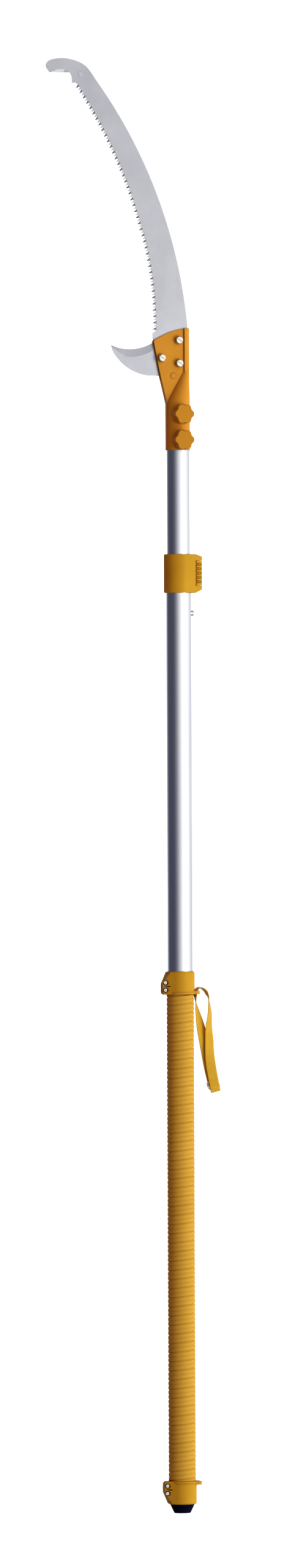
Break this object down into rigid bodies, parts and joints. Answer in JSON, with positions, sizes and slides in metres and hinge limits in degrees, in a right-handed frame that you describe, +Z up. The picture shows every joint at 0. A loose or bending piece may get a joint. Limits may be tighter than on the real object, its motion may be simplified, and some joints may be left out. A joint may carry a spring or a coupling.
{
  "type": "telescoping pole saw",
  "caption": "Pole saw with a curved hooked blade and side sickle on an oval telescoping pole, with a lever clamp, lock button, ribbed grip, rubber foot and wrist strap.",
  "frame": {"origin": "middle of the foot's flat end", "axes": "+Z up the pole to the blade; the teeth face -X; the clamp knobs face -Y"},
  "size_m": [0.3019, 0.0565, 2.4191],
  "materials": {
    "pole_aluminium": "satin anodised",
    "blade_steel": "hard-chromed, satin",
    "sickle_steel": "ground",
    "rivet_steel": "ground flush",
    "holder_paint": "smooth powder coat",
    "spacer_steel": "plain",
    "bolt_steel": "bright",
    "screw_steel": "bright",
    "spring_steel": "plain",
    "knob_plastic": "fine matt",
    "clamp_plastic": "fine matt",
    "lever_plastic": "fine matt",
    "bush_plastic": "plain",
    "collar_plastic": "fine matt",
    "grip_rubber": "soft matt",
    "foot_rubber": "soft sheen",
    "strap_webbing": "flat woven",
    "ring_chrome": "polished"
  },
  "bodies": {
    "lower_assembly": {"clamp_collar": "clamp_plastic", "clamp_liner": "bush_plastic", "clamp_screw": "screw_steel", "foot_cap": "foot_rubber", "grip_sleeve": "grip_rubber", "lever_pin": "screw_steel", "lower_collar": "collar_plastic", "lower_collar_nut_1": "screw_steel", "lower_collar_nut_2": "screw_steel", "lower_collar_screw_1": "screw_steel", "lower_collar_screw_2": "screw_steel", "lower_pole": "pole_aluminium", "strap": "strap_webbing", "strap_ring_back": "ring_chrome", "strap_ring_front": "ring_chrome", "upper_collar": "collar_plastic", "upper_collar_nut_1": "screw_steel", "upper_collar_nut_2": "screw_steel", "upper_collar_screw_1": "screw_steel", "upper_collar_screw_2": "screw_steel"},
    "upper_assembly": {"blade_bolt_left": "bolt_steel", "blade_bolt_low": "bolt_steel", "blade_bolt_top": "bolt_steel", "blade_holder": "holder_paint", "blade_nut_left": "bolt_steel", "blade_nut_low": "bolt_steel", "blade_nut_top": "bolt_steel", "blade_spacer": "spacer_steel", "knob_bolt_lower": "bolt_steel", "knob_bolt_upper": "bolt_steel", "knob_washer_lower": "bolt_steel", "knob_washer_upper": "bolt_steel", "lock_spring_collapsed": "spring_steel", "lock_spring_extended": "spring_steel", "pole_guide": "bush_plastic", "saw_blade": "blade_steel", "sickle_blade": "sickle_steel", "tip_rivet": "rivet_steel", "upper_pole": "pole_aluminium"},
    "knob_upper": {"knob_upper": "knob_plastic"},
    "knob_lower": {"knob_lower": "knob_plastic"},
    "clamp_lever": {"clamp_lever": "lever_plastic"},
    "clamp_shoe": {"clamp_shoe": "bush_plastic"},
    "lock_button": {"lock_button": "screw_steel"}
  },
  "joints": [
    {"name": "pole_extend", "type": "slide", "parent": "lower_assembly", "child": "upper_assembly", "axis": [0, 0, 1], "range_m": [0, 1.38]},
    {"name": "lever_turn", "type": "hinge", "parent": "lower_assembly", "child": "clamp_lever", "pos_m": [0.03, 0.009, 1.5647], "axis": [0, 0, 1], "range_deg": [0, 110]},
    {"name": "shoe_release", "type": "slide", "parent": "lower_assembly", "child": "clamp_shoe", "axis": [1, 0, 0], "range_m": [0, 0.0006]},
    {"name": "lock_button_press", "type": "slide", "parent": "lower_assembly", "child": "lock_button", "axis": [-1, 0, 0], "range_m": [0, 0.0052], "stiffness_N_per_m": 800, "deforming": ["lock_spring_extended", "lock_spring_collapsed"]},
    {"name": "knob_upper_turn", "type": "hinge", "parent": "upper_assembly", "child": "knob_upper", "pos_m": [0, -0.0266, 1.8289], "axis": [0, 1, 0], "continuous": true},
    {"name": "knob_lower_turn", "type": "hinge", "parent": "upper_assembly", "child": "knob_lower", "pos_m": [0, -0.0266, 1.786], "axis": [0, 1, 0], "continuous": true}
  ],
  "couplings": [
    {"joint": "shoe_release", "follows": "lever_turn", "m_per_rad": 0.00031252}
  ]
}
